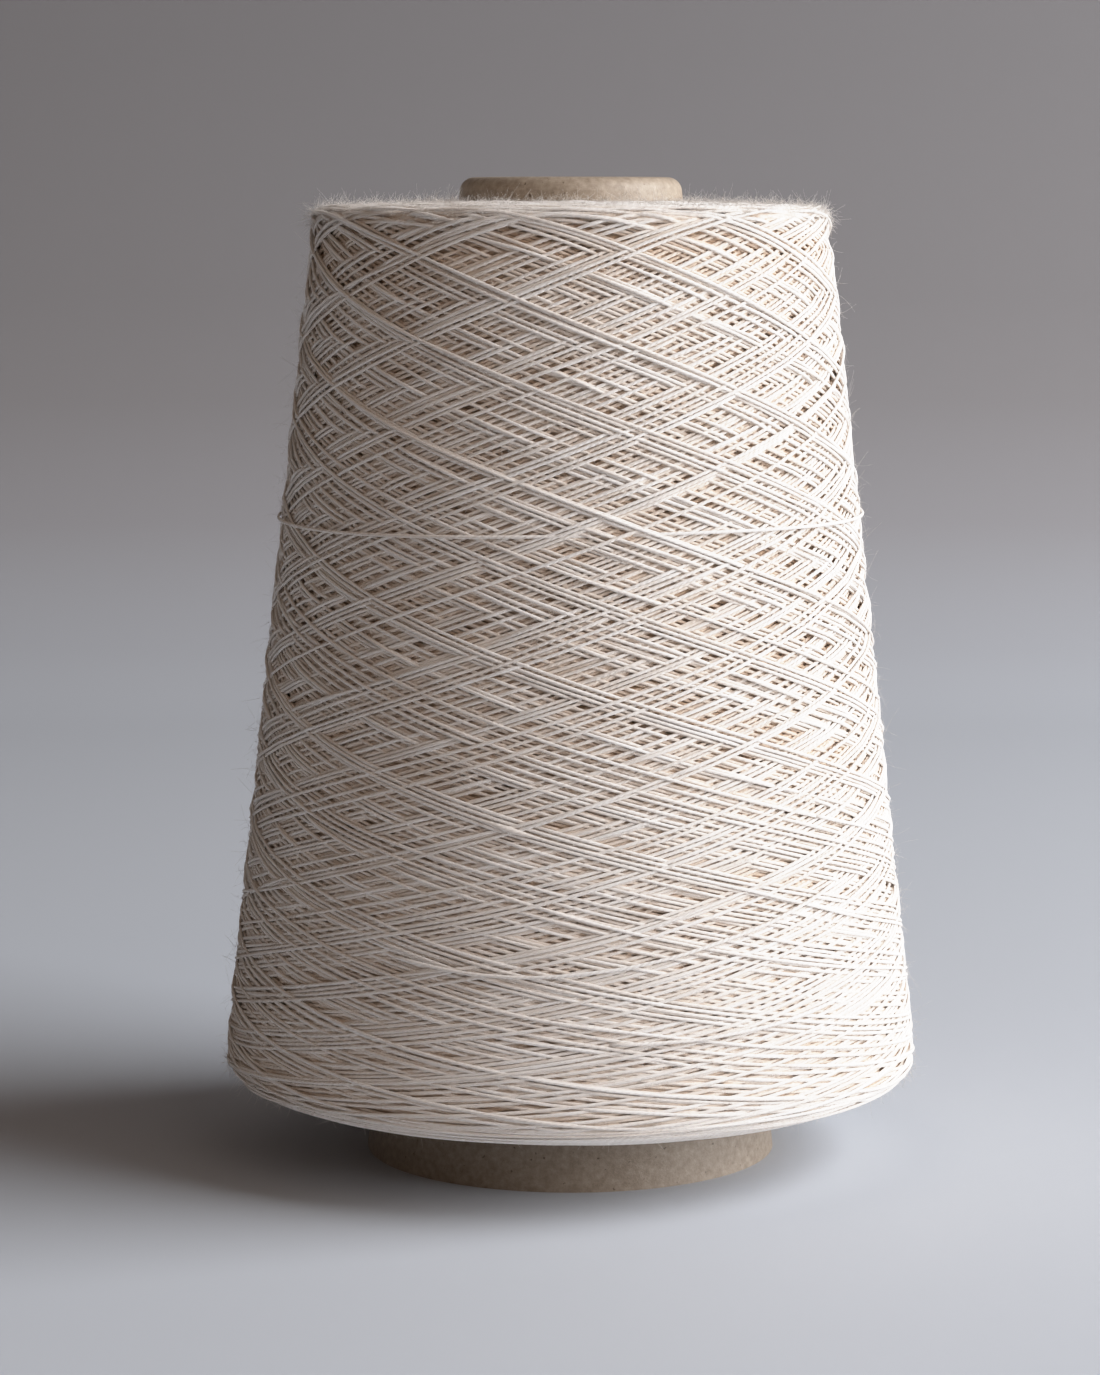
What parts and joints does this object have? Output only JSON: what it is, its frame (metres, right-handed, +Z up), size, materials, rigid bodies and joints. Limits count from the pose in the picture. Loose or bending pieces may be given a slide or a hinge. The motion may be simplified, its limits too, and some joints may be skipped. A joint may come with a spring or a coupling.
{
  "type": "thread cone",
  "caption": "Cone of undyed cross-wound sewing thread on a tapered paperboard core with a rolled-in, open nose and a flat cut base.",
  "frame": {"origin": "centre of the core's cut base, in the plane it stands on", "axes": "+Z up the core's axis from the base to the nose; +X and +Y are across it, and the front is towards -Y"},
  "size_m": [0.1213, 0.1214, 0.17],
  "materials": {
    "cover_paper": "satin",
    "core_board": "matte",
    "liner_paper": "matte",
    "thread": "matte"
  },
  "bodies": {
    "root": {"core_cover_paper": "cover_paper", "core_board": "core_board", "core_liner_paper": "liner_paper", "thread_inner_windings": "thread", "thread_middle_windings": "thread", "thread_outer_windings": "thread", "thread_end_wrap": "thread"}
  },
  "joints": []
}
